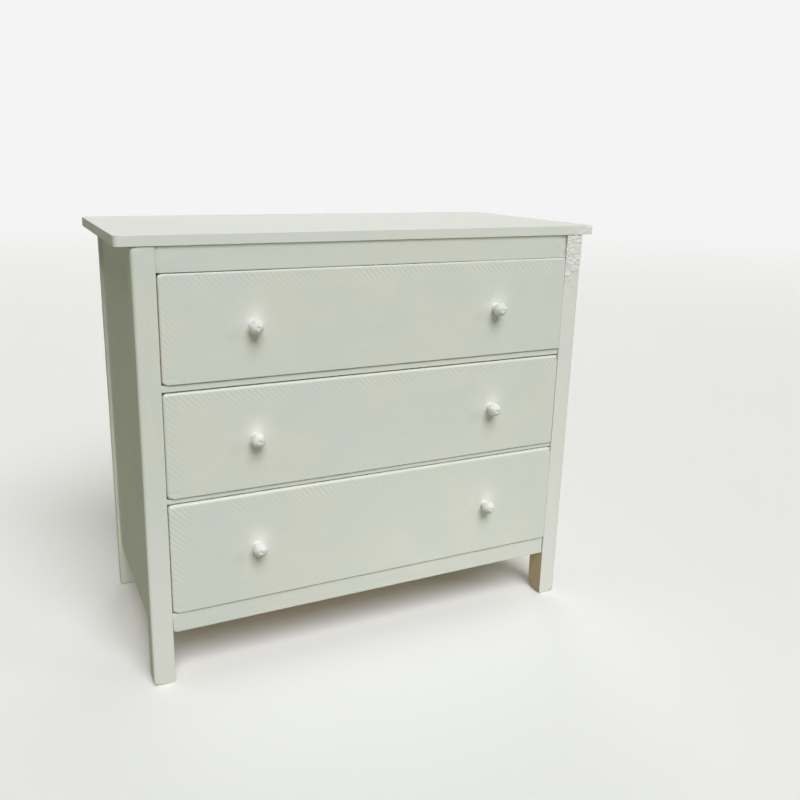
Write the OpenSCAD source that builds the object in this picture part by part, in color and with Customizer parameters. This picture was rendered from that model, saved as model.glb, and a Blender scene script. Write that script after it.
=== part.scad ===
// Miniature chest of drawers in 1:12 scale: a glued case of posts, panels and rails with three
// sliding drawers, each a glued box behind an inset front with two turned knobs.
// Millimetres. +Z is up, the drawers open towards -Y, and the origin lies on the floor under the
// middle of the whole piece, knobs included.

/* [Overall] */
// Height from the floor to the upper face of the top board
chest_h = 80; // [76:0.5:90]
// Width of the top board
top_w = 92.4; // [80:0.2:110]
// Depth of the top board
top_d = 43.4; // [38:0.2:52]
// Thickness of the top board
top_t = 1.8; // [1.4:0.1:2.6]
// Overhang of the top board at each side and at the back
top_overhang = 2.5; // [0:0.1:4]
// Overhang of the top board past the front posts
front_overhang = 0.2; // [0:0.1:2]

/* [Case] */
// Width of every post, seen from the front
post_w = 3.8; // [3:0.1:5]
// Depth of a front post
front_post_d = 4.3; // [3.6:0.1:6]
// Depth of a back post
back_post_d = 1.6; // [1.2:0.1:3]
// Thickness of a side panel
side_t = 1.5; // [1:0.1:2]
// Distance from a post's outer face in to the side panel's
side_recess = 0.55; // [0.2:0.05:0.8]
// Thickness of the back panel
back_t = 1.2; // [0.8:0.1:2]
// Thickness of the bottom board
floor_t = 1.5; // [1:0.1:2.5]
// Distance from the posts' front faces back to the rails'
rail_recess = 0.3; // [0.1:0.05:0.8]
// Thickness of the top rail and of the bottom rail, front to back
rail_d = 2; // [1.4:0.1:3]

/* [Heights on the front] */
// Height of the top rail
top_rail_h = 4.2; // [3:0.1:6]
// Height of the rail under the first drawer
upper_rail_h = 1.15; // [0.8:0.05:2]
// Height of the rail under the second drawer
lower_rail_h = 0.83; // [0.7:0.01:2]
// Height of the bottom rail
bottom_rail_h = 3.7; // [3:0.1:6]
// Clear height under the bottom rail
leg_clear = 9.8; // [6:0.1:14]
// Height of the first drawer's front
first_front_h = 18.28; // [15:0.01:21]
// Height of the second drawer's front; the third takes what is left
second_front_h = 18.66; // [15:0.01:21]

/* [Drawers] */
// Gap above a drawer front
gap_above = 0.2; // [0.15:0.05:0.5]
// Gap below a drawer front
gap_below = 0.14; // [0.1:0.01:0.4]
// Gap at each end of a drawer front
gap_end = 0.15; // [0.1:0.05:0.6]
// Thickness of a drawer front
front_t = 2; // [1.5:0.1:3]
// Thickness of a drawer's sides and back
wall_t = 1.2; // [0.8:0.1:1.6]
// Thickness of a drawer's bottom
base_t = 1; // [0.8:0.1:1.4]

/* [Knobs] */
// Distance between the two knobs of a drawer
knob_spacing = 48.2; // [30:0.2:64]
// Diameter of a knob's ball
knob_ball = 2.7; // [2:0.1:4]
// Distance from the drawer front to the middle of the ball
knob_reach = 1.6; // [1.2:0.1:2.4]
// Diameter of a knob's neck
knob_neck = 1.6; // [1.2:0.1:2]
// Diameter of the peg that is glued into the drawer front
knob_peg = 0.96; // [0.8:0.02:1.1]

/* [Hidden] */
$fn = 64;

// Fits and fine sizes inside the case
running_gap = 0.05;    // between a drawer's sides and what they slide on
side_clear = 0.4;      // between a drawer's sides and the posts and guides
stop_gap = 0.3;        // between a closed drawer and the back panel
peg_fit = 0.02;        // glue line round a knob's peg
side_drop = 0.4;       // a drawer's sides end this far below the top of its front
back_drop = 0.8;       // and its back ends this far below its sides
base_lift = 0.4;       // a drawer's bottom is raised this far above its sides' lower edges
runner_w = 4.7;        // width of a runner, from the side panel inwards
guide_h = 3;           // height of a guide
kicker_h = 1.6;        // height of a kicker
neck_flare = 0.25;     // a knob's neck widens by this where it meets the drawer front

// The case in plan, with y = 0 at the front posts' front faces
case_w = top_w - 2 * top_overhang;
case_d = top_d - front_overhang - top_overhang;
post_in = case_w / 2 - post_w;
panel_out = case_w / 2 - side_recess;
panel_in = panel_out - side_t;
back_post_y = case_d - back_post_d;
back_panel_y = back_post_y - back_t;
guide_w = panel_in - post_in;

// The case in height
top_z = chest_h - top_t;
third_front_h = top_z - top_rail_h - upper_rail_h - lower_rail_h - bottom_rail_h - leg_clear
    - first_front_h - second_front_h - 3 * (gap_above + gap_below);
front_heights = [first_front_h, second_front_h, third_front_h];
rail_heights = [upper_rail_h, lower_rail_h];

// Ceiling and floor of the space that drawer i slides in, and the z of its front's lower edge
function bay_top(i) = i == 0 ? top_z - top_rail_h : bay_floor(i - 1) - rail_heights[i - 1];
function bay_floor(i) = bay_top(i) - front_heights[i] - gap_above - gap_below;
function front_z(i) = bay_floor(i) + gap_below;

// The drawers
DRAWERS = [0, 1, 2];
SIDES = [-1, 1];
front_half = post_in - gap_end;
box_half = post_in - side_clear;
inner_half = box_half - wall_t;
box_end_y = back_panel_y - stop_gap;
function side_z(i) = bay_floor(i) + running_gap;
function side_h(i) = front_z(i) + front_heights[i] - side_drop - side_z(i);

// The whole piece reaches from the knobs to the back edge of the top board
knob_tip = knob_reach + knob_ball / 2;
middle_y = (top_d - front_overhang - knob_tip) / 2;

function side_name(side) = side < 0 ? "left" : "right";
function each_side(stem) = [for (side = SIDES) str(stem, side_name(side))];
function drawer_nodes(i) = [
    for (piece = ["front", "back", "bottom"]) str("drawer_", i + 1, "_", piece),
    for (piece = ["side_", "knob_"]) each each_side(str("drawer_", i + 1, "_", piece))
];

// Finishes
module painted() color("#dfe2d8") children();
module bare() color("#b98d5e") children();

// Moves a piece from the case's own plan to the part's frame
module placed() translate([0, -middle_y, 0]) children();

// A board from its lowest corner to its highest
module board(low, high) placed() translate(low) cube(high - low);

// The same board on the left (side = -1) or on the right (side = 1), given for the right
module side_board(side, low, high)
    board([side < 0 ? -high.x : low.x, low.y, low.z], [side < 0 ? -low.x : high.x, high.y, high.z]);

// ---- Case ----

module top_board()
    painted() board([-top_w / 2, -front_overhang, top_z], [top_w / 2, case_d + top_overhang, chest_h]);

module front_post(side)
    painted() side_board(side, [post_in, 0, 0], [case_w / 2, front_post_d, top_z]);

module back_post(side)
    painted() side_board(side, [post_in, back_post_y, 0], [case_w / 2, case_d, top_z]);

module side_panel(side)
    painted() side_board(side, [panel_in, front_post_d, leg_clear], [panel_out, back_post_y, top_z]);

module back_panel()
    painted() board([-panel_in, back_panel_y, leg_clear], [panel_in, back_post_y, top_z]);

// A rail between the front posts, with its lower edge at z
module rail(z, h, d)
    painted() board([-post_in, rail_recess, z], [post_in, rail_recess + d, z + h]);

// The middle rails reach back as far as the posts, where the runners start
module mid_rail(i)
    rail(bay_top(i + 1), rail_heights[i], front_post_d - rail_recess);

module top_rail() rail(bay_top(0), top_rail_h, rail_d);
module upper_mid_rail() mid_rail(0);
module lower_mid_rail() mid_rail(1);
module bottom_rail() rail(leg_clear, bottom_rail_h, rail_d);

// The bottom board is notched round the front posts and lies level with the bottom rail
module bottom_board()
    bare() placed() translate([0, 0, bay_floor(2) - floor_t]) linear_extrude(floor_t) {
        translate([-post_in, rail_recess + rail_d])
            square([2 * post_in, back_panel_y - rail_recess - rail_d]);
        translate([-panel_in, front_post_d])
            square([2 * panel_in, back_panel_y - front_post_d]);
    }

// A strip along a side panel, from the front post to the back panel
module strip(side, x_in, z, h)
    bare() side_board(side, [x_in, front_post_d, z], [panel_in, back_panel_y, z + h]);

module runner(i, side)
    strip(side, panel_in - runner_w, bay_top(i + 1), rail_heights[i]);

module guide(i, side)
    strip(side, panel_in - guide_w, bay_floor(i), guide_h);

module kicker(side)
    strip(side, panel_in - runner_w, bay_top(0), kicker_h);

// ---- Drawers ----

// The front has one hole right through it for each knob's peg
module drawer_front(i)
    painted() difference() {
        board([-front_half, 0, front_z(i)], [front_half, front_t, front_z(i) + front_heights[i]]);
        for (side = SIDES)
            on_knob_axis(i, side) cylinder(h = 3 * front_t, d = knob_peg + 2 * peg_fit, center = true);
    }

module drawer_side(i, side)
    bare() side_board(side, [inner_half, front_t, side_z(i)], [box_half, box_end_y, side_z(i) + side_h(i)]);

module drawer_bottom(i)
    bare() board([-inner_half, front_t, side_z(i) + base_lift],
                 [inner_half, box_end_y, side_z(i) + base_lift + base_t]);

module drawer_back(i)
    bare() board([-inner_half, box_end_y - wall_t, side_z(i) + base_lift + base_t],
                 [inner_half, box_end_y, side_z(i) + side_h(i) - back_drop]);

// Puts +Z along a knob, out of the drawer, with z = 0 on the drawer front
module on_knob_axis(i, side)
    placed() translate([side * knob_spacing / 2, 0, front_z(i) + front_heights[i] / 2])
        rotate([90, 0, 0]) children();

// A turned knob: peg, flared neck and ball in one profile, from the inner end of the peg outwards
module drawer_knob(i, side)
    painted() on_knob_axis(i, side) rotate_extrude() union() {
        translate([0, -front_t]) square([knob_peg / 2, front_t + knob_reach]);
        polygon([
            [0, 0], [knob_neck / 2 + neck_flare, 0],
            [knob_neck / 2, neck_flare], [knob_neck / 2, knob_reach], [0, knob_reach]
        ]);
        intersection() {
            translate([0, knob_reach]) circle(d = knob_ball);
            translate([0, knob_reach - knob_ball / 2]) square(knob_ball);
        }
    }

// ---- Assembly ----

top_board();
back_panel();
bottom_board();
top_rail();
upper_mid_rail();
lower_mid_rail();
bottom_rail();

for (side = SIDES) {
    front_post(side);
    back_post(side);
    side_panel(side);
    kicker(side);
    for (i = [0, 1])
        runner(i, side);
    for (i = DRAWERS)
        guide(i, side);
}

for (i = DRAWERS) {
    drawer_front(i);
    drawer_back(i);
    drawer_bottom(i);
    for (side = SIDES) {
        drawer_side(i, side);
        drawer_knob(i, side);
    }
}
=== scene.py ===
import itertools
import math

import bpy
import numpy as np
from mathutils import Matrix, Vector


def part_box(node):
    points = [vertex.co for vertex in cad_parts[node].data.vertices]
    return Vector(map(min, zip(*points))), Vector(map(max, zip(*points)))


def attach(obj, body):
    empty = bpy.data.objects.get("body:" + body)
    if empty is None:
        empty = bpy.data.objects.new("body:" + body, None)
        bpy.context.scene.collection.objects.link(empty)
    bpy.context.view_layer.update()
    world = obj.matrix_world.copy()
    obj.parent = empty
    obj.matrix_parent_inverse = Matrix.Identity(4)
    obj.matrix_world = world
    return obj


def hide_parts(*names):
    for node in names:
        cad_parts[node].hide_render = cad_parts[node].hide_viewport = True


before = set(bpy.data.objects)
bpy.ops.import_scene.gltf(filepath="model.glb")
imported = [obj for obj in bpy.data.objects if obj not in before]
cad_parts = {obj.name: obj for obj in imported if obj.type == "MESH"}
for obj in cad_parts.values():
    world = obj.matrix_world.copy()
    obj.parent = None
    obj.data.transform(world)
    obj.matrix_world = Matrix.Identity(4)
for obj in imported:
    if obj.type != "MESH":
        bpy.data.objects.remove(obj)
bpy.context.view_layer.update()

# Looks of the miniature chest of drawers. Everything is in metres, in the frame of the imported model.

MM = 0.001
X, Y, Z = range(3)

# Each surface draws its unevenness from a seed of its own.
SEED = 41
TOP_SEED = SEED + 3
GRAIN_SEED = SEED + 7
SMALL_GRAIN_SEED = SEED + 9
FEW_LUMPS_SEED = SEED + 15
END_LUMPS_SEED = SEED + 31
PAINT_RUN_SEED = SEED + 33


def name_seed(node):
    return SEED + sum(map(ord, node))


# ---------------------------------------------------------------- noise

HASH_AXES = (73856093, 19349663, 83492791)
HASH_SEED = 2654435
HASH_FACTORS = (1103515245, 1274126177)
HASH_OFFSET = 12345
HASH_MASK = 0x7FFFFFFF


def corner_values(cells, seed):
    """A number from -1 to 1 for each whole-numbered place, always the same for that place and seed."""
    mixed = seed * HASH_SEED
    for axis in (X, Y, Z):
        mixed = mixed ^ (cells[:, axis] * HASH_AXES[axis])
    mixed = mixed & HASH_MASK
    mixed = (mixed * HASH_FACTORS[0] + HASH_OFFSET) & HASH_MASK
    mixed = (mixed ^ (mixed >> 13)) * HASH_FACTORS[1] & HASH_MASK
    return ((mixed >> 7) % 20011) / 10005.0 - 1.0


def lattice_noise(points, size, seed):
    """Smooth noise from -1 to 1 at each point, with features about size across."""
    place = np.asarray(points, float) / size
    cell = np.floor(place).astype(np.int64)
    part = place - cell
    part = part * part * part * (part * (part * 6 - 15) + 10)
    total = np.zeros(len(place))
    for dx, dy, dz in itertools.product((0, 1), repeat=3):
        weight = np.abs(1 - dx - part[:, X]) * np.abs(1 - dy - part[:, Y]) * np.abs(1 - dz - part[:, Z])
        total += corner_values(cell + (dx, dy, dz), seed) * weight
    return total


def smooth_step(low, high, value):
    """0 at low, 1 at high, and smooth between. Low may be the larger of the two, for a fall."""
    share = np.clip((value - low) / (high - low), 0, 1)
    return share * share * (3 - 2 * share)


# ---------------------------------------------------------------- rounded boards

EDGE_ANGLES = (45, 30, 15, 0)
PAST_EDGE = 1.35
CORNER_LINES = 5
LEAST_SPACING = 0.4
LONGEST_END = 0.49
THICKEST_EDGE = 0.42
NO_LENGTH = 1e-12


def grid_lines(low, high, edge, corner, step):
    """Places of the grid lines along one side of a board.

    They are close together over its rounded edges and corners, of these radii, then about step apart.
    """
    near = [edge * (1 - math.tan(math.radians(angle))) for angle in EDGE_ANGLES] + [edge * PAST_EDGE]
    while near[-1] < corner:
        near.append(near[-1] + max(corner / CORNER_LINES, edge * LEAST_SPACING))
    near = [place for place in near if place < (high - low) * LONGEST_END]
    spaces = max(1, round((high - low - 2 * near[-1]) / step))
    inner = np.linspace(low + near[-1], high - near[-1], spaces + 1)
    return np.concatenate([low + np.array(near[:-1]), inner, high - np.array(near[:-1])[::-1]])


def box_grid(xs, ys, zs):
    """Points and four-sided faces of a closed box whose sides are cut along these lines."""
    shell = np.zeros((len(xs), len(ys), len(zs)), bool)
    shell[[0, -1], :, :] = True
    shell[:, [0, -1], :] = True
    shell[:, :, [0, -1]] = True
    index = np.full(shell.shape, -1)
    index[shell] = np.arange(shell.sum())
    i, j, k = np.nonzero(shell)
    points = np.stack([xs[i], ys[j], zs[k]], 1)
    faces = []
    for sheet, flip in (
        (index[0], True), (index[-1], False),
        (index[:, 0], False), (index[:, -1], True),
        (index[:, :, 0], True), (index[:, :, -1], False),
    ):
        quads = np.stack([sheet[:-1, :-1], sheet[1:, :-1], sheet[1:, 1:], sheet[:-1, 1:]], -1).reshape(-1, 4)
        faces.append(quads[:, ::-1] if flip else quads)
    return points, np.concatenate(faces)


def round_off(points, low, high, edge, corner, across):
    """Moves a box's points onto a board with rounded edges, and gives each point's outward direction.

    The outline's corners, seen along the across axis, are rounded as well. Both radii vary by point.
    """
    u, v = [axis for axis in (X, Y, Z) if axis != across]
    inside = points.copy()
    inside[:, across] = np.clip(points[:, across], low[across] + edge, high[across] - edge)
    for axis in (u, v):
        inside[:, axis] = np.clip(points[:, axis], low[axis] + corner, high[axis] - corner)
    out = points[:, [u, v]] - inside[:, [u, v]]
    length = np.linalg.norm(out, axis=1)
    reach = np.minimum(length, corner - edge)
    inside[:, [u, v]] += out / np.maximum(length, NO_LENGTH)[:, None] * reach[:, None]
    away = points - inside
    away /= np.maximum(np.linalg.norm(away, axis=1), NO_LENGTH)[:, None]
    return inside + away * edge[:, None], away


def edge_distance(points, low, high):
    """How far each point of a box's surface is from the box's nearest edge."""
    gaps = np.concatenate([points - low, high - points], 1)
    return np.sort(np.abs(gaps), axis=1)[:, 1]


def mesh_object(name, points, faces, numbers):
    """A smooth-shaded mesh object whose points carry the named numbers for its material."""
    mesh = bpy.data.meshes.new(name)
    mesh.from_pydata(points.tolist(), [], [list(face) for face in faces])
    mesh.validate()
    mesh.polygons.foreach_set("use_smooth", np.ones(len(mesh.polygons), bool))
    for label, values in numbers.items():
        attribute = mesh.attributes.new(label, "FLOAT", "POINT")
        attribute.data.foreach_set("value", np.asarray(values, np.float32))
    mesh.update()
    piece = bpy.data.objects.new(name, mesh)
    bpy.context.scene.collection.objects.link(piece)
    return piece


def turned(profile, around):
    """Points and faces of a surface turned about an axis. Each point's third number is its place along it.

    The profile holds (radius, along) pairs. Where the radius is 0 the surface closes in a single point.
    """
    points = []
    rings = []
    for radius, place in profile:
        count = around if radius > 0 else 1
        rings.append([len(points) + step % count for step in range(around + 1)])
        for step in range(count):
            turn = 2 * math.pi * step / around
            points.append((radius * math.cos(turn), radius * math.sin(turn), place))
    faces = []
    for near, far in zip(rings[:-1], rings[1:]):
        for step in range(around):
            corners = (near[step], near[step + 1], far[step + 1], far[step])
            faces.append(tuple(dict.fromkeys(corners)))
    return np.array(points), faces


SURFACE_WAVE = 0.03 * MM
LONG_WAVES = 9 * MM
SHORT_WAVES = 3 * MM
DENT_SIZE = 1.7 * MM
DENT_DEEP = 0.035 * MM
DENT_EDGE = 0.15 * MM
RIM_REACH = 0.3 * MM


def soft_board(name, low, high, edge, step, seed, corner=0, across=Y, wave=SURFACE_WAVE, relief=None,
               numbers=None, edge_at=None, corner_at=None):
    """A board with rounded edges and a hand-made surface: a little wavy, and dented along its edges.

    edge is the radius of its edges, or the smallest where edge_at(points) gives it at each point.
    corner is the largest radius of its outline seen along the across axis, and corner_at(points) may vary it.
    relief(points, away) adds height, and numbers holds such functions for the material.
    """
    low = np.array(low)
    high = np.array(high)
    edge = min(edge, THICKEST_EDGE * (high - low).min())
    corner = max(corner, edge)
    lines = [grid_lines(low[axis], high[axis], edge, corner, step) for axis in (X, Y, Z)]
    flat, faces = box_grid(*lines)
    edges = np.full(len(flat), edge) if edge_at is None else edge_at(flat)
    corners = np.maximum(corner if corner_at is None else corner_at(flat), edges)
    points, away = round_off(flat, low, high, edges, corners, across)
    swell = 1 + 0.7 * lattice_noise(flat, LONG_WAVES, seed) + 0.3 * lattice_noise(flat, SHORT_WAVES, seed + 1)
    shape = -wave * 0.5 * swell
    rim = np.exp(-edge_distance(flat, low, high) / RIM_REACH)
    dents = smooth_step(0.45, 0.9, lattice_noise(flat, DENT_SIZE, seed + 2))
    shape = shape - DENT_DEEP * dents * rim * min(1, edge / DENT_EDGE)
    if relief is not None:
        shape = shape + relief(flat, away)
    values = {"rim": rim}
    for label, give in (numbers or {}).items():
        values[label] = give(flat, away)
    return mesh_object(name, points + away * shape[:, None], faces, values)


# ---------------------------------------------------------------- material nodes

MIX_COLOUR_SOCKETS = (6, 7)
MIX_COLOUR_RESULT = 2


class Nodes:
    """A short way to build a material's node tree. Noise scales are in features per metre."""

    def __init__(self, name):
        self.material = bpy.data.materials.new(name)
        self.material.use_nodes = True
        self.tree = self.material.node_tree
        self.tree.nodes.clear()
        self.shader = self.add("ShaderNodeBsdfPrincipled")
        self.surface = self.add("ShaderNodeOutputMaterial").inputs["Surface"]
        self.link(self.shader.outputs[0], self.surface)
        self.place = self.add("ShaderNodeTexCoord").outputs["Object"]

    def add(self, kind):
        return self.tree.nodes.new(kind)

    def link(self, source, target):
        self.tree.links.new(source, target)

    def feed(self, node, socket, value):
        if isinstance(value, bpy.types.NodeSocket):
            self.link(value, node.inputs[socket])
        else:
            node.inputs[socket].default_value = value

    def noise(self, scale, detail=2.0, roughness=0.5, place=None, distortion=0.0):
        node = self.add("ShaderNodeTexNoise")
        self.link(place or self.place, node.inputs["Vector"])
        node.inputs["Scale"].default_value = scale
        node.inputs["Detail"].default_value = detail
        node.inputs["Roughness"].default_value = roughness
        node.inputs["Distortion"].default_value = distortion
        return node.outputs["Fac"]

    def streaks(self, axis, lengthwise, sideways, detail, roughness, distortion=0.0):
        """Noise drawn out along one axis, with one scale along it and another across it."""
        node = self.add("ShaderNodeMapping")
        self.link(self.place, node.inputs["Vector"])
        node.inputs["Scale"].default_value = [lengthwise if a == axis else sideways for a in (X, Y, Z)]
        return self.noise(1.0, detail, roughness, node.outputs[0], distortion)

    def number(self, label):
        """A number that the mesh's points carry."""
        node = self.add("ShaderNodeAttribute")
        node.attribute_name = label
        return node.outputs["Fac"]

    def math(self, operation, a, b):
        node = self.add("ShaderNodeMath")
        node.operation = operation
        self.feed(node, 0, a)
        self.feed(node, 1, b)
        return node.outputs[0]

    def spread(self, value, low, high, to_low=0.0, to_high=1.0):
        """Takes the range from low to high smoothly to the range from to_low to to_high."""
        node = self.add("ShaderNodeMapRange")
        node.interpolation_type = "SMOOTHSTEP"
        for socket, number in enumerate((value, low, high, to_low, to_high)):
            self.feed(node, socket, number)
        return node.outputs[0]

    def blend(self, amount, a, b):
        """Colour a where the amount is 0, and colour b where it is 1."""
        node = self.add("ShaderNodeMix")
        node.data_type = "RGBA"
        self.feed(node, 0, amount)
        for socket, colour in zip(MIX_COLOUR_SOCKETS, (a, b)):
            self.feed(node, socket, colour if isinstance(colour, bpy.types.NodeSocket) else (*colour, 1))
        return node.outputs[MIX_COLOUR_RESULT]

    def bump(self, height, distance):
        node = self.add("ShaderNodeBump")
        node.inputs["Distance"].default_value = distance
        self.link(height, node.inputs["Height"])
        return node.outputs[0]

    def finish(self, colour, roughness, normal, specular=0.5):
        self.link(colour, self.shader.inputs["Base Color"])
        self.link(roughness, self.shader.inputs["Roughness"])
        self.link(normal, self.shader.inputs["Normal"])
        self.shader.inputs["Specular IOR Level"].default_value = specular
        return self.material


# ---------------------------------------------------------------- paint

PAINT = (0.78, 0.80, 0.725)
PAINT_COOL = (0.745, 0.79, 0.745)
PAINT_WARM = (0.81, 0.79, 0.675)
PAINT_SHADE = (0.66, 0.69, 0.62)
# The lighter colour of thick paint. Where it is laid on it is also painted light.
PAINT_THICK_AND_LIT = (0.885, 0.875, 0.85)
# Warm pale tint of thin paint, which is also painted warm bounce light.
PAINT_SHEER_AND_BOUNCE = (0.97, 0.80, 0.62)
STAIN = (0.74, 0.45, 0.235)
STAIN_DARK = (0.50, 0.28, 0.135)
WARM_MOST = 0.6
SHADE_MOST = 0.22
THICK_AND_LIT_MOST = 0.85
WOOD_MOST = 0.85
THICK_GLOSS = 0.04
WOOD_DULL = 0.25
THICK_SMOOTH = 0.3
PAINT_BUMP = 0.022 * MM


def wood_showing(nodes, patches, fleck):
    """How far wood shows through the paint: in worn spots along the edges, and where a piece is bare."""
    thin = nodes.math("MULTIPLY", nodes.number("rim"), nodes.spread(patches, 0.52, 0.78))
    thin = nodes.math("MULTIPLY", thin, nodes.spread(fleck, 0.38, 0.64))
    worn = nodes.spread(thin, 0.34, 0.74)
    patchy = nodes.math("MULTIPLY", nodes.math("SUBTRACT", fleck, 0.5), 0.5)
    raw = nodes.spread(nodes.math("ADD", nodes.number("bare"), patchy), 0.35, 0.62)
    return nodes.math("MAXIMUM", worn, raw)


def paint(name, stroke_axis, peel=1.0, strokes=1.0, roughness=0.40, coat=0.0):
    """Satin white paint over brown wood: mottled, brushed along one axis, thin in places and thick in others.

    Where it is thick it is also lighter, which is painted light, and where it is sheer it takes a warm tint
    of painted bounce light.
    peel and strokes are how strongly its grain and its brush marks show, and coat is how far the whole piece
    has the lighter colour of the thick places, which is painted light.
    """
    nodes = Nodes(name)
    broad = nodes.noise(scale=85, detail=3, roughness=0.6)
    patches = nodes.noise(scale=420, detail=3, roughness=0.6)
    fleck = nodes.noise(scale=2600, detail=2, roughness=0.6)
    grain = nodes.noise(scale=1300, detail=2, roughness=0.5)
    brushed = nodes.streaks(stroke_axis, lengthwise=70, sideways=1500, detail=3, roughness=0.6)
    fibres = nodes.streaks(stroke_axis, lengthwise=120, sideways=1400, detail=3, roughness=0.6)
    thick_and_lit = nodes.number("thick_and_lit")
    wood = wood_showing(nodes, patches, fleck)

    colour = nodes.blend(nodes.spread(broad, 0.38, 0.62), PAINT_COOL, PAINT)
    colour = nodes.blend(nodes.spread(patches, 0.54, 0.78, 0.0, WARM_MOST), colour, PAINT_WARM)
    colour = nodes.blend(nodes.spread(brushed, 0.3, 0.75, 0.0, SHADE_MOST * strokes), colour, PAINT_SHADE)
    # coat lays the lighter thick colour over the whole piece as painted light; thick places get it as thicker
    # paint and painted light.
    colour = nodes.blend(coat, colour, PAINT_THICK_AND_LIT)
    colour = nodes.blend(nodes.math("MULTIPLY", thick_and_lit, THICK_AND_LIT_MOST), colour, PAINT_THICK_AND_LIT)
    # Sheer places take a warm pale tint: thin paint, and painted warm bounce light.
    colour = nodes.blend(nodes.number("sheer_and_bounce"), colour, PAINT_SHEER_AND_BOUNCE)
    wood_colour = nodes.blend(nodes.spread(fibres, 0.35, 0.7), STAIN, STAIN_DARK)
    colour = nodes.blend(nodes.math("MULTIPLY", wood, WOOD_MOST), colour, wood_colour)

    gloss = nodes.spread(patches, 0.3, 0.7, roughness - 0.06, roughness + 0.08)
    gloss = nodes.math("SUBTRACT", gloss, nodes.math("MULTIPLY", thick_and_lit, THICK_GLOSS))
    gloss = nodes.math("ADD", gloss, nodes.math("MULTIPLY", wood, WOOD_DULL))

    height = nodes.math("MULTIPLY", brushed, 0.7 * strokes)
    height = nodes.math("ADD", height, nodes.math("MULTIPLY", grain, 0.9 * peel))
    height = nodes.math("ADD", height, nodes.math("MULTIPLY", fleck, 0.25 * peel))
    height = nodes.math("MULTIPLY", height, nodes.spread(thick_and_lit, 0.0, 1.0, 1.0, THICK_SMOOTH))
    height = nodes.math("SUBTRACT", height, nodes.math("MULTIPLY", wood, 0.8))
    return nodes.finish(colour, gloss, nodes.bump(height, PAINT_BUMP))


KNOB_LOW_PAINT = (0.79, 0.805, 0.755)
KNOB_HIGH_PAINT = (0.87, 0.88, 0.85)
KNOB_GRIME = (0.60, 0.59, 0.49)
KNOB_BUMP = 0.10 * MM


def knob_paint(name):
    """Thick satin paint in lumps, with specks of grime."""
    nodes = Nodes(name)
    lumps = nodes.noise(scale=1500, detail=3, roughness=0.6)
    fine = nodes.noise(scale=5200, detail=2, roughness=0.6)
    colour = nodes.blend(nodes.spread(lumps, 0.35, 0.68), KNOB_LOW_PAINT, KNOB_HIGH_PAINT)
    colour = nodes.blend(nodes.spread(fine, 0.58, 0.78, 0.0, 0.5), colour, KNOB_GRIME)
    gloss = nodes.spread(lumps, 0.3, 0.7, 0.26, 0.42)
    height = nodes.math("ADD", lumps, nodes.math("MULTIPLY", fine, 0.3))
    return nodes.finish(colour, gloss, nodes.bump(height, KNOB_BUMP))


# ---------------------------------------------------------------- bare wood

WOOD_PALE = (0.66, 0.50, 0.33)
WOOD_LIGHT = (0.60, 0.43, 0.26)
WOOD_MID = (0.50, 0.33, 0.18)
WOOD_DARK = (0.30, 0.175, 0.085)
WOOD_BUMP = 0.03 * MM
WOOD_SPECULAR = 0.35


def bare_wood(name, grain_axis):
    """Fine sanded pale wood, its grain along one axis."""
    nodes = Nodes(name)
    bands = nodes.streaks(grain_axis, lengthwise=16, sideways=330, detail=4, roughness=0.55, distortion=0.35)
    fibres = nodes.streaks(grain_axis, lengthwise=130, sideways=3400, detail=3, roughness=0.65)
    pores = nodes.streaks(grain_axis, lengthwise=420, sideways=5200, detail=2, roughness=0.5)
    tone = nodes.noise(scale=45, detail=2, roughness=0.5)
    colour = nodes.blend(nodes.spread(bands, 0.36, 0.66), WOOD_LIGHT, WOOD_MID)
    colour = nodes.blend(nodes.spread(fibres, 0.45, 0.8, 0.0, 0.45), colour, WOOD_DARK)
    colour = nodes.blend(nodes.spread(pores, 0.62, 0.74, 0.0, 0.55), colour, WOOD_DARK)
    colour = nodes.blend(nodes.spread(tone, 0.4, 0.7, 0.0, 0.25), colour, WOOD_PALE)
    colour = nodes.blend(nodes.math("MULTIPLY", nodes.number("rim"), 0.25), colour, WOOD_DARK)
    gloss = nodes.spread(fibres, 0.3, 0.8, 0.58, 0.78)
    height = nodes.math("ADD", nodes.math("MULTIPLY", fibres, 0.8), nodes.math("MULTIPLY", bands, 0.5))
    height = nodes.math("SUBTRACT", height, nodes.spread(pores, 0.62, 0.74, 0.0, 0.6))
    return nodes.finish(colour, gloss, nodes.bump(height, WOOD_BUMP), WOOD_SPECULAR)


# ---------------------------------------------------------------- the stage's finish

FLOOR_LOW = (0.92, 0.92, 0.915)
FLOOR_HIGH = (0.94, 0.94, 0.935)
FLOOR_BUMP = 0.03 * MM
FLOOR_SPECULAR = 0.2
BACKDROP = (0.90, 0.905, 0.90)
GLOW_FROM = 0.25
GLOW_FULL = 1.1


def floor_paint(name):
    """Plain pale studio floor with a faint tooth. Far out it glows evenly, so that no horizon shows."""
    nodes = Nodes(name)
    colour = nodes.blend(nodes.noise(scale=9, detail=3), FLOOR_LOW, FLOOR_HIGH)
    gloss = nodes.spread(nodes.noise(scale=300), 0.3, 0.7, 0.75, 0.9)
    nodes.finish(colour, gloss, nodes.bump(nodes.noise(scale=700), FLOOR_BUMP), FLOOR_SPECULAR)
    glow = nodes.add("ShaderNodeEmission")
    glow.inputs["Color"].default_value = (*BACKDROP, 1)
    distance = nodes.add("ShaderNodeVectorMath")
    distance.operation = "LENGTH"
    nodes.link(nodes.place, distance.inputs[0])
    mixed = nodes.add("ShaderNodeMixShader")
    nodes.feed(mixed, 0, nodes.spread(distance.outputs["Value"], GLOW_FROM, GLOW_FULL))
    nodes.link(nodes.shader.outputs[0], mixed.inputs[1])
    nodes.link(glow.outputs[0], mixed.inputs[2])
    nodes.link(mixed.outputs[0], nodes.surface)
    return nodes.material


# ---------------------------------------------------------------- materials in use

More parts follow.
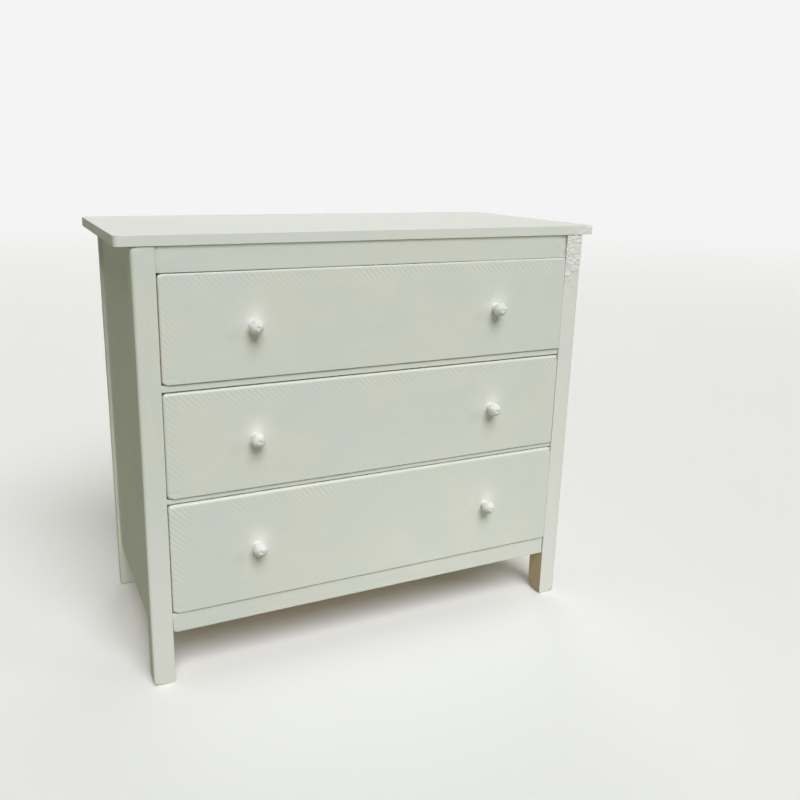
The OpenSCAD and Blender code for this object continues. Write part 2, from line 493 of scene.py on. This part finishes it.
CASE_PAINT = [paint("painted_case_%s" % letter, axis) for axis, letter in enumerate("xyz")]
# The top board's paint is lighter all over through coat: painted light, for the brighter light falling on the
# top.
TOP_PAINT_LIT = paint("painted_case_top", X, peel=0.4, strokes=0.4, roughness=0.38, coat=0.3)
FRONT_PAINT = paint("painted_front", X, peel=0.6, strokes=0.35, roughness=0.38)
BARE_WOOD = [bare_wood("bare_wood_%s" % letter, axis) for axis, letter in enumerate("xyz")]
KNOB_PAINT = knob_paint("painted_knob")


def settle(piece, body, slot, material, *nodes):
    """Gives a finished piece its material and its body, and hides the CAD nodes it stands for. Its slot is
    not used.
    """
    piece.data.materials.append(material)
    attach(piece, body)
    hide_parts(*nodes)
    return piece


# ---------------------------------------------------------------- case

def case_board(node, edge, step, stroke_axis, slot="painted_case", short=(0, 0, 0), **more):
    """One board of the case. short is what both ends are cut back by, in millimetres along each axis."""
    low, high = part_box(node)
    cut = Vector(short) * MM
    piece = soft_board("soft_" + node, low + cut, high - cut, edge, step, name_seed(node), **more)
    material = (CASE_PAINT if slot == "painted_case" else BARE_WOOD)[stroke_axis]
    return settle(piece, "case", slot, material, node)


def to_front(away):
    """How squarely each point faces the front."""
    return np.clip(-away[:, Y], 0, 1)


# Posts

POST_LOW, POST_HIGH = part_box("front_post_right")
RAIL_LOW, RAIL_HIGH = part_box("bottom_rail")
POST_OUTER_EDGE = 0.60 * MM
POST_INNER_EDGE = 0.07 * MM
BACK_POST_EDGE = 0.15 * MM
FOOT_CORNER = 0.5 * MM
FOOT_WEAR = 0.50 * MM
FOOT_WEAR_REACH = 2.0 * MM
GRAIN_SIZE = 0.54 * MM
SMALL_GRAIN_SIZE = 0.31 * MM
FEW_LUMPS_SIZE = 1.1 * MM
PEBBLE_HIGH = 0.145 * MM


def post_edges(side):
    """Edges of a front post: sharp beside the drawers, and well rounded on its outer side."""
    def radius(flat):
        outer = side * flat[:, X] - (POST_LOW.x + POST_HIGH.x) / 2
        return POST_INNER_EDGE + (POST_OUTER_EDGE - POST_INNER_EDGE) * smooth_step(0.2 * MM, 1.0 * MM, outer)
    return radius


def foot_corners(flat):
    """The outline's corners are rounded at a post's foot only."""
    return FOOT_CORNER * smooth_step(2.0 * MM, 1.2 * MM, flat[:, Z])


def worn_foot(flat):
    """How far the right front foot is worn away at its lower back edge."""
    gap = np.hypot(POST_HIGH.y - flat[:, Y], flat[:, Z] - POST_LOW.z)
    return -FOOT_WEAR * np.clip(1 - gap / FOOT_WEAR_REACH, 0, 1) ** 2


def pebbled_area(flat):
    """How far the dried lumps of paint cover a point of the right front post: all of its top, then a few."""
    full = smooth_step(POST_HIGH.z - 7.5 * MM, POST_HIGH.z - 4.0 * MM, flat[:, Z])
    few = smooth_step(0.1, 0.55, lattice_noise(flat, FEW_LUMPS_SIZE, FEW_LUMPS_SEED))
    few = few * smooth_step(POST_HIGH.z - 13 * MM, POST_HIGH.z - 7 * MM, flat[:, Z])
    return np.maximum(full, few)


def lumps_at(flat):
    """Grains of dried paint, from about 0 to 1.4."""
    grains = np.abs(lattice_noise(flat, GRAIN_SIZE, GRAIN_SEED)) ** 0.7
    return grains + 0.55 * lattice_noise(flat, SMALL_GRAIN_SIZE, SMALL_GRAIN_SEED)


def right_post_relief(flat, away):
    """Dried lumps on the front and the outer side, and the worn foot."""
    outside = np.clip(-away[:, Y] + 0.7 * away[:, X], 0, 1)
    return PEBBLE_HIGH * lumps_at(flat) * pebbled_area(flat) * outside + worn_foot(flat)


def right_post_thick_and_lit(flat, away):
    """The right post has a thicker coat all over its front, and most where it is pebbled. Its lighter colour
    there is painted light, for a brighter post and lit pebbles.
    """
    outside = np.clip(-away[:, Y] + away[:, X], 0, 1)
    pebbled = pebbled_area(flat) * smooth_step(0.1, 0.8, lumps_at(flat)) * outside
    return np.maximum(1.3 * pebbled, 0.75 * to_front(away))


def left_post_lighter_to_foot(flat, away):
    """The left post's front gets lighter, smoother and glossier towards its foot."""
    return 0.65 * smooth_step(45 * MM, 8 * MM, flat[:, Z]) * to_front(away)


def leg_sheer_and_bounce(side):
    """Thin paint on a front leg's inner side, below the bottom rail, with a warm tint that is painted bounce
    light.
    """
    def amount(flat, away):
        below = smooth_step(RAIL_LOW.z + 0.4 * MM, RAIL_LOW.z - 0.8 * MM, flat[:, Z])
        return below * np.clip(-side * away[:, X], 0, 1)
    return amount


case_board("front_post_left", edge=POST_INNER_EDGE, step=0.8 * MM, stroke_axis=Z, corner=FOOT_CORNER,
           corner_at=foot_corners, edge_at=post_edges(-1),
           numbers={"sheer_and_bounce": leg_sheer_and_bounce(-1), "thick_and_lit": left_post_lighter_to_foot})
case_board("front_post_right", edge=POST_INNER_EDGE, step=0.14 * MM, stroke_axis=Z, corner=FOOT_CORNER,
           corner_at=foot_corners, edge_at=post_edges(1), relief=right_post_relief,
           numbers={"sheer_and_bounce": leg_sheer_and_bounce(1), "thick_and_lit": right_post_thick_and_lit})
for side in ("left", "right"):
    case_board("back_post_" + side, edge=BACK_POST_EDGE, step=0.4 * MM, stroke_axis=Z, across=X,
               corner=FOOT_CORNER, corner_at=foot_corners)

# Panels and rails

PANEL_LOW, PANEL_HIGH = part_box("side_panel_left")
TOP_RAIL_LOW, TOP_RAIL_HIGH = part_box("top_rail")
PANEL_EDGE = 0.10 * MM
RAIL_WAVE = 0.04 * MM
LUMPY_ENDS = 3.5 * MM
END_LUMP_SIZE = 0.9 * MM
END_LUMP_HIGH = 0.05 * MM
TOP_RAIL_SHORT = (0.04, 0, 0)
TOP_RAIL_COAT = 0.19 * MM
TOP_RAIL_FILLET = 0.12 * MM
RUN_LEAST = 0.05 * MM
RUN_RIGHTWARD = 0.10 * MM
RUN_UNEVEN = 0.02 * MM
RUN_SIZE = 1.4 * MM
LOOSE_END_GAP = 0.16 * MM
LOOSE_CORNER = 0.62 * MM


def panel_sheer_and_bounce(flat, away):
    """Paint worn thin at the left panel's lower back corner, with the same warm tint of painted bounce light.
    """
    near = np.hypot(flat[:, Y] - PANEL_HIGH.y, (flat[:, Z] - PANEL_LOW.z) * 0.6)
    return 0.55 * smooth_step(6.5 * MM, 1.0 * MM, near)


def end_lumps(flat, away):
    """Paint gathered in small lumps at a rail's ends."""
    near = smooth_step(RAIL_HIGH.x - LUMPY_ENDS, RAIL_HIGH.x - 1.0 * MM, np.abs(flat[:, X]))
    return END_LUMP_HIGH * near * lattice_noise(flat, END_LUMP_SIZE, END_LUMPS_SEED) * to_front(away)


def top_rail_relief(flat, away):
    """Lumpy ends, paint gathered along the underside, and a coat that thickens up against the top board."""
    rightward = smooth_step(RAIL_LOW.x, RAIL_HIGH.x, flat[:, X])
    uneven = RUN_UNEVEN * lattice_noise(flat, RUN_SIZE, PAINT_RUN_SEED)
    gathered = RUN_LEAST + RUN_RIGHTWARD * rightward + uneven
    gathered = gathered * smooth_step(0.3, 0.9, -away[:, Z])
    rise = smooth_step(TOP_RAIL_HIGH.z - 0.4 * MM, TOP_RAIL_HIGH.z, flat[:, Z])
    inward = smooth_step(0.2 * MM, 2.2 * MM, TOP_RAIL_HIGH.x - flat[:, X])
    inward = inward * smooth_step(0.1 * MM, 0.7 * MM, flat[:, X] - TOP_RAIL_LOW.x)
    coat = (TOP_RAIL_COAT * inward + TOP_RAIL_FILLET * rise) * to_front(away)
    return end_lumps(flat, away) + gathered + coat


def loose_end(flat, away):
    """The bottom rail's left end stands a little off its post lower down, and its ends are lumpy."""
    lower = smooth_step(RAIL_HIGH.z - 0.8 * MM, RAIL_LOW.z + 0.8 * MM, flat[:, Z])
    return end_lumps(flat, away) - LOOSE_END_GAP * lower * np.clip(-away[:, X], 0, 1)


def loose_corner(flat):
    """The bottom rail's lower left corner is rounded."""
    lower = smooth_step(RAIL_LOW.z + 1.6 * MM, RAIL_LOW.z + 1.0 * MM, flat[:, Z])
    return LOOSE_CORNER * lower * smooth_step(RAIL_LOW.x + 2.0 * MM, RAIL_LOW.x + 1.2 * MM, flat[:, X])


case_board("side_panel_left", edge=PANEL_EDGE, step=0.8 * MM, stroke_axis=Z, numbers={"sheer_and_bounce": panel_sheer_and_bounce})
case_board("side_panel_right", edge=PANEL_EDGE, step=0.8 * MM, stroke_axis=Z)
case_board("top_rail", edge=0.04 * MM, step=0.3 * MM, stroke_axis=X, wave=RAIL_WAVE, relief=top_rail_relief,
           short=TOP_RAIL_SHORT)
case_board("upper_mid_rail", edge=0.10 * MM, step=0.6 * MM, stroke_axis=X)
case_board("lower_mid_rail", edge=0.09 * MM, step=0.6 * MM, stroke_axis=X)
case_board("bottom_rail", edge=0.14 * MM, step=0.5 * MM, stroke_axis=X, wave=RAIL_WAVE, corner=LOOSE_CORNER,
           corner_at=loose_corner, relief=loose_end)
case_board("back_panel", edge=PANEL_EDGE, step=1.2 * MM, stroke_axis=Z)

# Top board

TOP_LOW, TOP_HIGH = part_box("top_board")
TOP_EDGE = 0.09 * MM
TOP_END_EDGE = 0.42 * MM
TOP_CORNER = 0.9 * MM
TOP_STEP = 0.36 * MM
TOP_GRAIN_DEEP = 0.08 * MM


def top_edges(flat):
    """Edges of the top board: crisp, but worn round at its right end."""
    upper = smooth_step(TOP_LOW.z + 0.4 * MM, TOP_HIGH.z - 0.6 * MM, flat[:, Z])
    right = smooth_step(TOP_HIGH.x - 2.5 * MM, TOP_HIGH.x - 0.6 * MM, flat[:, X])
    return TOP_EDGE + (TOP_END_EDGE - TOP_EDGE) * upper * right


def top_grains(flat, away):
    """Where grains of paint dried on the top board: on its front and end, near its front right corner."""
    near = smooth_step(TOP_HIGH.x - 7 * MM, TOP_HIGH.x - 2 * MM, flat[:, X])
    near = near * smooth_step(TOP_LOW.y + 5 * MM, TOP_LOW.y + 2 * MM, flat[:, Y])
    return near * np.clip(np.abs(away[:, X]) - away[:, Y], 0, 1)


def top_relief(flat, away):
    """Hollows between the grains leave them standing, so that none is outside the board."""
    return TOP_GRAIN_DEEP * top_grains(flat, away) * np.minimum(lumps_at(flat) - 1.3, 0)


# The top board's grains also take the lighter thick colour, as thicker paint and painted light on them.
top = soft_board("soft_top_board", TOP_LOW, TOP_HIGH, TOP_EDGE, TOP_STEP, TOP_SEED, corner=TOP_CORNER,
                 across=Z, edge_at=top_edges, relief=top_relief, numbers={"thick_and_lit": top_grains})
settle(top, "case", "painted_case", TOP_PAINT_LIT, "top_board")

# Runners, guides and kickers, and the bottom board

INNER_EDGE = 0.15 * MM
INNER_STEP = 1.2 * MM
BOTTOM_BEVEL = 0.12 * MM

for side in ("left", "right"):
    for number in (1, 2, 3):
        case_board("guide_%d_%s" % (number, side), INNER_EDGE, INNER_STEP, Y, "bare_wood")
    for number in (1, 2):
        case_board("runner_%d_%s" % (number, side), INNER_EDGE, INNER_STEP, Y, "bare_wood")
    case_board("kicker_" + side, INNER_EDGE, INNER_STEP, Y, "bare_wood")

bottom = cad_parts["bottom_board"]
bottom.data.materials.clear()
bottom.data.materials.append(BARE_WOOD[X])
softened = bottom.modifiers.new("softened", "BEVEL")
softened.width = BOTTOM_BEVEL
softened.segments = 2


# ---------------------------------------------------------------- drawer fronts

# Sizes that differ between the drawers are given by drawer number, from the top.
RIB_PITCH = 0.77 * MM
RIB_HIGH = {1: 0.034 * MM, 2: 0.040 * MM, 3: 0.050 * MM}
RIB_REACH = {1: 4.2 * MM, 2: 4.4 * MM, 3: 5.6 * MM}
RIB_FULL = 0.4 * MM
RIB_FAINT = 0.0018 * MM
FRONT_STEP = 0.235 * MM
FRONT_EDGE = 0.10 * MM
RIGHT_EDGE = 0.06 * MM
LEFT_ROUND = 0.45 * MM
TOP_ROUND = {1: 0.28 * MM, 2: 0.42 * MM, 3: 0.52 * MM}
LEFT_CORNER = 0.8 * MM
RIGHT_CORNER = 0.3 * MM
LEFT_CORNER_REACH = 10 * MM
RIGHT_COAT = {1: 0.14 * MM, 2: 0.06 * MM, 3: 0.14 * MM}
LEFT_COAT = 0.05 * MM
LOWER_COAT = {1: 0.07 * MM, 2: 0.06 * MM, 3: 0.01 * MM}
LEFT_BARE = {1: 0.95, 2: 0.42, 3: 0.80}
TOP_BARE = {1: 0.2, 2: 0.44, 3: 0.36}
RIGHT_BARE = 0.4
UNDER_BARE = 0.6
MOUND_HIGH = 0.11 * MM
MOUND_REACH = 1.9 * MM
# Size and lift of the painted halo of light above each knob, laid on as lighter thick paint.
HALO_REACH = 2.5 * MM
HALO_LIFT = 1.2 * MM
GROOVE_DEEP = 0.06 * MM
GROOVE_UP = 1.0 * MM
GROOVE_WIDE = 0.13 * MM


def knob_places(number):
    """The x and z of the middle of each of a drawer's knobs."""
    places = []
    for side in ("left", "right"):
        low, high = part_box("drawer_%d_knob_%s" % (number, side))
        places.append(((low.x + high.x) / 2, (low.z + high.z) / 2))
    return places


def round_knobs(number, flat, reach, lift=0.0):
    """1 at each knob's place, raised by lift, falling to 0 over about reach."""
    total = np.zeros(len(flat))
    for x, z in knob_places(number):
        total += np.exp(-((flat[:, X] - x) ** 2 + (flat[:, Z] - z - lift) ** 2) / reach ** 2)
    return total


def front_edges(number, low, high):
    """Edges of a drawer front: crisp below, sharp on the right, more rounded along the top and the left."""
    def radius(flat):
        right = smooth_step(0.9 * MM, 0.3 * MM, high.x - flat[:, X])
        upper = smooth_step(1.1 * MM, 0.7 * MM, high.z - flat[:, Z])
        left = smooth_step(1.0 * MM, 0.6 * MM, flat[:, X] - low.x)
        extra = np.maximum((TOP_ROUND[number] - FRONT_EDGE) * upper, (LEFT_ROUND - FRONT_EDGE) * left)
        return FRONT_EDGE + extra - (FRONT_EDGE - RIGHT_EDGE) * right * (1 - upper)
    return radius


def front_corners(low):
    """The outline's corners are well rounded at a front's left end, and nearly square at its right end."""
    def radius(flat):
        return RIGHT_CORNER + (LEFT_CORNER - RIGHT_CORNER) * (flat[:, X] < low.x + LEFT_CORNER_REACH)
    return radius


def front_relief(number, low, high, seed):
    """Fine ribs running down to the right at 45 degrees, strongest beside the top and left edges.

    Paint stands in a low mound round each knob, and a short groove runs in from the left end, low down.
    """
    def height(flat, away):
        slant = (flat[:, X] + flat[:, Z]) / math.sqrt(2)
        drift = 0.18 * lattice_noise(flat, 6 * MM, seed) + 0.10 * lattice_noise(flat, 1.6 * MM, seed + 2)
        wave = np.cos(2 * math.pi * (slant + drift * RIB_PITCH) / RIB_PITCH)
        top_band = smooth_step(RIB_REACH[number], RIB_FULL, high.z - flat[:, Z])
        left_band = smooth_step(RIB_REACH[number], RIB_FULL, flat[:, X] - low.x)
        uneven = 0.7 + 0.5 * lattice_noise(flat, 8 * MM, seed + 1)
        uneven = uneven + 0.35 * lattice_noise(flat, 2.5 * MM, seed + 3)
        strong = np.clip(np.maximum(top_band, 0.9 * left_band) * uneven, 0, 1)
        ribs = (RIB_FAINT + RIB_HIGH[number] * strong) * (wave - 1)
        groove = np.exp(-(((flat[:, Z] - low.z - GROOVE_UP) / GROOVE_WIDE) ** 2))
        groove = groove * smooth_step(3.2 * MM, 1.8 * MM, flat[:, X] - low.x)
        mound = MOUND_HIGH * round_knobs(number, flat, MOUND_REACH)
        return to_front(away) * (ribs - GROOVE_DEEP * groove + mound)
    return height


def front_thick_and_halo(number):
    """Thicker paint just above each knob, and lighter there as a painted halo of light."""
    def amount(flat, away):
        return round_knobs(number, flat, HALO_REACH, HALO_LIFT) * to_front(away)
    return amount


def squarely(part):
    """1 where a point faces nearly straight one way, from that part of its outward direction, else 0."""
    return smooth_step(0.8, 0.98, part)


def front_bare(number):
    """Bare wood on a front's ends, upper and lower sides and inner face, with paint run round the edges."""
    def amount(flat, away):
        ends = squarely(-away[:, X]) * LEFT_BARE[number] + squarely(away[:, X]) * RIGHT_BARE
        upper = squarely(away[:, Z]) * TOP_BARE[number]
        under = squarely(-away[:, Z]) * UNDER_BARE
        inner = smooth_step(0.5, 0.95, away[:, Y])
        return np.maximum(ends + upper + under, inner)
    return amount


def drawer_front(number):
    """A ribbed front, thick with paint at its ends and below."""
    node = "drawer_%d_front" % number
    low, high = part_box(node)
    high.x += RIGHT_COAT[number]
    low.x -= LEFT_COAT
    low.z -= LOWER_COAT[number]
    board = soft_board("ribbed_" + node, low, high, RIGHT_EDGE, FRONT_STEP, SEED + number, corner=LEFT_CORNER,
                       relief=front_relief(number, low, high, SEED + 20 * number),
                       edge_at=front_edges(number, low, high), corner_at=front_corners(low),
                       numbers={"bare": front_bare(number), "thick_and_lit": front_thick_and_halo(number)})
    return settle(board, "drawer_%d" % number, "painted_front", FRONT_PAINT, node)


# ---------------------------------------------------------------- knobs

KNOB_NECK = 0.8 * MM
KNOB_FLARE = 0.25 * MM
KNOB_PEG = 0.48 * MM
PEG_CHAMFER = 0.08 * MM
KNOB_AROUND = 48
BALL_RINGS = 27
NECK_RINGS = 7
LUMP_SIZE = 0.9 * MM
SMALL_LUMP_SIZE = 0.4 * MM
LUMP_HIGH = 0.10 * MM
DIMPLE_SIZE = 0.36 * MM
DIMPLE_DEEP = 0.22 * MM
DROP_SIZE = 0.2 * MM
DROP_HIGH = 0.16 * MM
DROP_SHIFT = 0.14 * MM


def knob_profile(ball, middle, face, back):
    """Radius and y of a knob's outline, from the ball's end to the peg's.

    ball is the ball's radius. middle, face and back are the y of its centre, of the drawer's face and of
    the peg's end.
    """
    meet = math.asin(min(1, KNOB_NECK / ball))
    profile = []
    for turn in np.linspace(0, math.pi - meet, BALL_RINGS):
        profile.append((ball * math.sin(turn), middle - ball * math.cos(turn)))
    neck_start = profile[-1][1]
    for share in np.linspace(0.15, 1, NECK_RINGS):
        profile.append((KNOB_NECK + KNOB_FLARE * share ** 3, neck_start + (face - neck_start) * share))
    profile.append((KNOB_NECK + 0.20 * MM, face + 0.12 * MM))
    profile.append((KNOB_PEG, face + 0.2 * MM))
    profile.append((KNOB_PEG, back - 0.05 * MM))
    profile.append((KNOB_PEG - PEG_CHAMFER, back))
    profile.append((0, back))
    return profile


def knob_relief(points, centre, face, seed):
    """Lumps of paint on a knob in front of the drawer's face, with a dimple and a drop on the ball's end."""
    outside = smooth_step(face + 0.05 * MM, face - 0.05 * MM, points[:, Y])
    lumps = 0.6 * lattice_noise(points, LUMP_SIZE, seed)
    lumps = lumps + 0.4 * lattice_noise(points, SMALL_LUMP_SIZE, seed + 1)
    sideways = points[:, X] - centre.x
    up = points[:, Z] - centre.z
    on_end = points[:, Y] < centre.y
    dimple = np.exp(-((np.hypot(sideways, up) / DIMPLE_SIZE) ** 2)) * on_end
    drop = np.exp(-(((sideways - DROP_SHIFT) ** 2 + (up - DROP_SHIFT) ** 2) / DROP_SIZE ** 2)) * on_end
    return outside * (LUMP_HIGH * (lumps - 0.75) - DIMPLE_DEEP * dimple + DROP_HIGH * drop)


def knob(number, side):
    """A turned knob, thick with paint: peg, flared neck and a ball with a dimpled end."""
    node = "drawer_%d_knob_%s" % (number, side)
    low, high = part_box(node)
    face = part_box("drawer_%d_front" % number)[0].y
    ball = (high.x - low.x) / 2
    centre = Vector(((low.x + high.x) / 2, low.y + ball, (low.z + high.z) / 2))
    spun, faces = turned(knob_profile(ball, centre.y, face, high.y), KNOB_AROUND)
    points = np.stack([centre.x + spun[:, 0], spun[:, 2], centre.z + spun[:, 1]], 1)
    away = points - np.array(centre)
    away /= np.maximum(np.linalg.norm(away, axis=1), NO_LENGTH)[:, None]
    seed = SEED + 10 * number + (5 if side == "right" else 0)
    shape = knob_relief(points, centre, face, seed)
    piece = mesh_object("turned_" + node, points + away * shape[:, None], faces, {})
    return settle(piece, "drawer_%d" % number, "painted_knob", KNOB_PAINT, node)


# ---------------------------------------------------------------- drawers

BOX_EDGE = 0.14 * MM
BOX_GRAINS = {"back": X, "bottom": X, "side_left": Y, "side_right": Y}

for number in (1, 2, 3):
    drawer_front(number)
    for part, grain in BOX_GRAINS.items():
        node = "drawer_%d_%s" % (number, part)
        board = soft_board("soft_" + node, *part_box(node), BOX_EDGE, INNER_STEP, name_seed(node))
        settle(board, "drawer_%d" % number, "bare_wood", BARE_WOOD[grain], node)
    for side in ("left", "right"):
        knob(number, side)


# ---------------------------------------------------------------- stage

STAGE_RADIUS = 2.2
STAGE_SWEEP = 0.8
STAGE_TALL = 2.4
STAGE_RINGS = (0, 0.05, 0.2, 0.6, STAGE_RADIUS)
STAGE_AROUND = 96
SWEEP_RINGS = 13


def stage_sweep():
    """A pale floor that rises in one sweep all round, far outside the object.

    It casts no shadow on the object and throws no diffuse light back on it.
    """
    wall_profile = []
    for turn in np.linspace(0, math.pi / 2, SWEEP_RINGS):
        wall_profile.append((STAGE_RADIUS + STAGE_SWEEP * math.sin(turn), STAGE_SWEEP * (1 - math.cos(turn))))
    wall_profile.append((STAGE_RADIUS + STAGE_SWEEP, STAGE_TALL))
    floor = mesh_object("stage_floor", *turned([(radius, 0) for radius in STAGE_RINGS], STAGE_AROUND), {})
    wall = mesh_object("stage_wall", *turned(wall_profile, STAGE_AROUND), {})
    material = floor_paint("stage_pale")
    for piece in (floor, wall):
        piece.data.materials.append(material)
        piece.visible_shadow = False
        piece.visible_diffuse = False
    floor.visible_glossy = False


stage_sweep()


# ---------------------------------------------------------------- light

# Lights from one direction: azimuth, elevation, strength, spread and colour.
DISTANT_LIGHTS = {
    "key": (-2, 51, 2.48, 36, (0.985, 1.0, 1.03)),
    "side": (56, 22, 0.26, 12, (1.0, 1.0, 0.96)),
    "rear": (158, 12, 0.95, 30, (1.0, 1.0, 0.97)),
}
# Lights close by, below the level of the floor: place and target in millimetres, power and colour.
NEAR_LIGHTS = {
    "low_left": ((-160, -50, -40), (-44, 0, 20), 0.029, (1.0, 0.95, 0.80)),
    "low_right": ((90, -150, -70), (20, -20, 20), 0.039, (1.0, 0.99, 0.93)),
}
NEAR_LIGHT_SIZE = 80 * MM
WORLD_COLOUR = (1.0, 1.0, 0.66)
WORLD_STRENGTH = 0.142


def direction(azimuth, elevation):
    """Direction to a place round the object, in degrees: 0 is straight in front, and 90 is to its right."""
    turn = math.radians(azimuth)
    rise = math.radians(elevation)
    return Vector((math.sin(turn) * math.cos(rise), -math.cos(turn) * math.cos(rise), math.sin(rise)))


def place_light(name, light, place, towards):
    """Puts a light in the scene, pointing this way."""
    lamp = bpy.data.objects.new(name, light)
    lamp.location = place
    lamp.rotation_mode = "QUATERNION"
    lamp.rotation_quaternion = towards.to_track_quat("-Z", "Y")
    bpy.context.scene.collection.objects.link(lamp)
    return lamp


def distant_light(name, azimuth, elevation, strength, spread, colour):
    """A soft light from one direction. Spread is its size seen from the object, in degrees."""
    light = bpy.data.lights.new(name, "SUN")
    light.energy = strength
    light.angle = math.radians(spread)
    light.color = colour
    place_light(name, light, direction(azimuth, elevation), -direction(azimuth, elevation))


def near_light(name, place, target, power, colour):
    """A soft round light near the object, which falls off across it."""
    light = bpy.data.lights.new(name, "AREA")
    light.shape = "DISK"
    light.energy = power
    light.size = NEAR_LIGHT_SIZE
    light.color = colour
    lamp = place_light(name, light, place, target - place)
    lamp.visible_camera = False


for name, (azimuth, elevation, strength, spread, colour) in DISTANT_LIGHTS.items():
    distant_light(name, azimuth, elevation, strength, spread, colour)
for name, (place, target, power, colour) in NEAR_LIGHTS.items():
    near_light(name, Vector(place) * MM, Vector(target) * MM, power, colour)

world = bpy.data.worlds.new("studio")
world.use_nodes = True
bpy.context.scene.world = world
background = world.node_tree.nodes["Background"]
background.inputs["Color"].default_value = (*WORLD_COLOUR, 1)
background.inputs["Strength"].default_value = WORLD_STRENGTH


# ---------------------------------------------------------------- camera

CAMERA_PLACE = Vector((-63.22, -149.29, 91.67)) * MM
CAMERA_HEADING = 24.625
CAMERA_DOWN = 14.836
CAMERA_ROLL = 0.956
CAMERA_LENS = 36.44
CAMERA_SENSOR = 36
CAMERA_SHIFT_RIGHT = 0.0481
CAMERA_SHIFT_UP = -0.0313
CAMERA_NEAREST = 0.005

camera_data = bpy.data.cameras.new("camera")
camera_data.lens = CAMERA_LENS
camera_data.sensor_width = CAMERA_SENSOR
camera_data.shift_x = CAMERA_SHIFT_RIGHT
camera_data.shift_y = CAMERA_SHIFT_UP
camera_data.clip_start = CAMERA_NEAREST
camera = bpy.data.objects.new("camera", camera_data)
camera.matrix_world = (
    Matrix.Translation(CAMERA_PLACE)
    @ Matrix.Rotation(math.radians(-CAMERA_HEADING), 4, "Z")
    @ Matrix.Rotation(math.radians(90 - CAMERA_DOWN), 4, "X")
    @ Matrix.Rotation(math.radians(CAMERA_ROLL), 4, "Z")
)
bpy.context.scene.collection.objects.link(camera)
bpy.context.scene.camera = camera
bpy.context.scene.view_settings.view_transform = "Standard"
